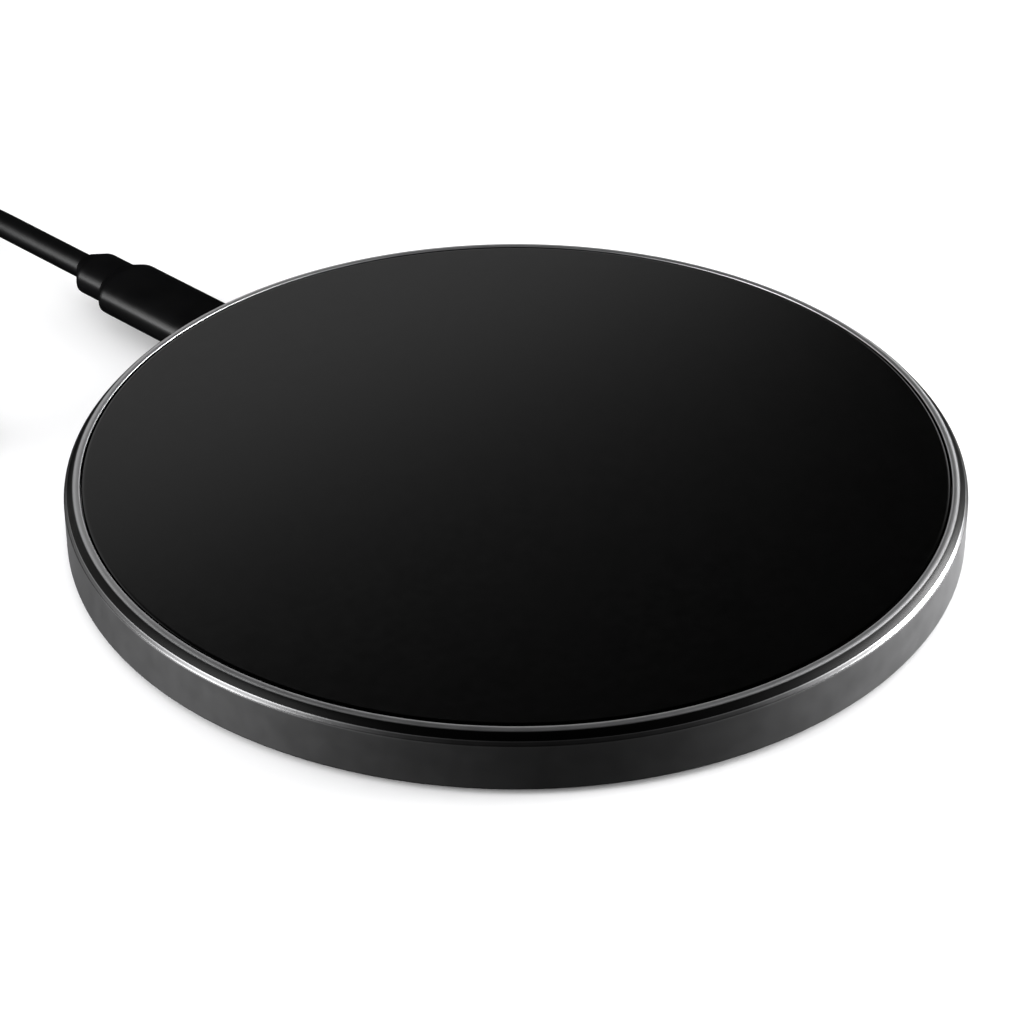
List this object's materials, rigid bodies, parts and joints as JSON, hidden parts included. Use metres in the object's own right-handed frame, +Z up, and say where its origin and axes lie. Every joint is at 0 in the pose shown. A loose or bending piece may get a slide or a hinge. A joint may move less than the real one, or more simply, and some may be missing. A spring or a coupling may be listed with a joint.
{
  "type": "wireless charging pad",
  "caption": "Round flat wireless charging pad: black glass top in a slim metal rim, socket at the back, detachable black lead coiled beside it.",
  "frame": {"origin": "centre of the base on the table plane", "axes": "+Z up through the pad, +Y towards the charging socket and the lead, -Y the front edge"},
  "size_m": [0.1, 0.1961, 0.01],
  "materials": {
    "black_metal": "black anodised, polished lip and chamfer",
    "black_glass": "black printed on the back, polished",
    "adhesive": "black bonding tape",
    "cover_plastic": "fine matt texture",
    "grip_rubber": "matt silicone",
    "screw_steel": "plain steel",
    "board_laminate": "green solder mask",
    "shell_steel": "nickel plated",
    "black_nylon": "moulded",
    "gold_contacts": "gold plated",
    "chip_black": "moulded package",
    "ceramic_tan": "ceramic",
    "ferrite_grey": "sintered ferrite",
    "led_clear": "clear resin",
    "light_pipe_clear": "frosted clear",
    "tray_plastic": "moulded",
    "coil_copper": "stranded enamelled copper",
    "foam_grey": "soft foam",
    "solder_tin": "solder",
    "plug_plastic": "satin black",
    "cord_rubber": "satin black jacket",
    "strap_fabric": "woven hook-and-loop strap",
    "tongue_white": "moulded white"
  },
  "bodies": {
    "pad": {"housing_ring": "black_metal", "top_glass": "black_glass", "glass_adhesive_ring": "adhesive", "bottom_cover": "cover_plastic", "anti_slip_ring": "grip_rubber", "cover_screws": "screw_steel", "circuit_board": "board_laminate", "board_screws": "screw_steel", "socket_shell": "shell_steel", "socket_insulator": "black_nylon", "socket_contacts": "gold_contacts", "controller_chip": "chip_black", "bridge_mosfets": "chip_black", "resonant_capacitors": "ceramic_tan", "input_capacitors": "ceramic_tan", "filter_inductor": "ferrite_grey", "chip_resistors": "chip_black", "status_led": "led_clear", "led_light_pipe": "light_pipe_clear", "coil_tray": "tray_plastic", "ferrite_shield": "ferrite_grey", "coil_winding": "coil_copper", "coil_foam_pad": "foam_grey", "solder_joints": "solder_tin"},
    "lead": {"plug_shell": "shell_steel", "plug_insulator": "black_nylon", "plug_contacts": "gold_contacts", "plug_body": "plug_plastic", "plug_strain_relief": "cord_rubber", "cable_run": "cord_rubber", "cable_coil": "cord_rubber", "cable_tie": "strap_fabric", "cable_tail": "cord_rubber", "usb_a_strain_relief": "cord_rubber", "usb_a_body": "plug_plastic", "usb_a_shell": "shell_steel", "usb_a_insulator": "tongue_white", "usb_a_contacts": "gold_contacts"}
  },
  "joints": [
    {"name": "plug_slide", "type": "slide", "parent": "pad", "child": "lead", "axis": [0, 1, 0], "range_m": [0, 0.012]}
  ]
}
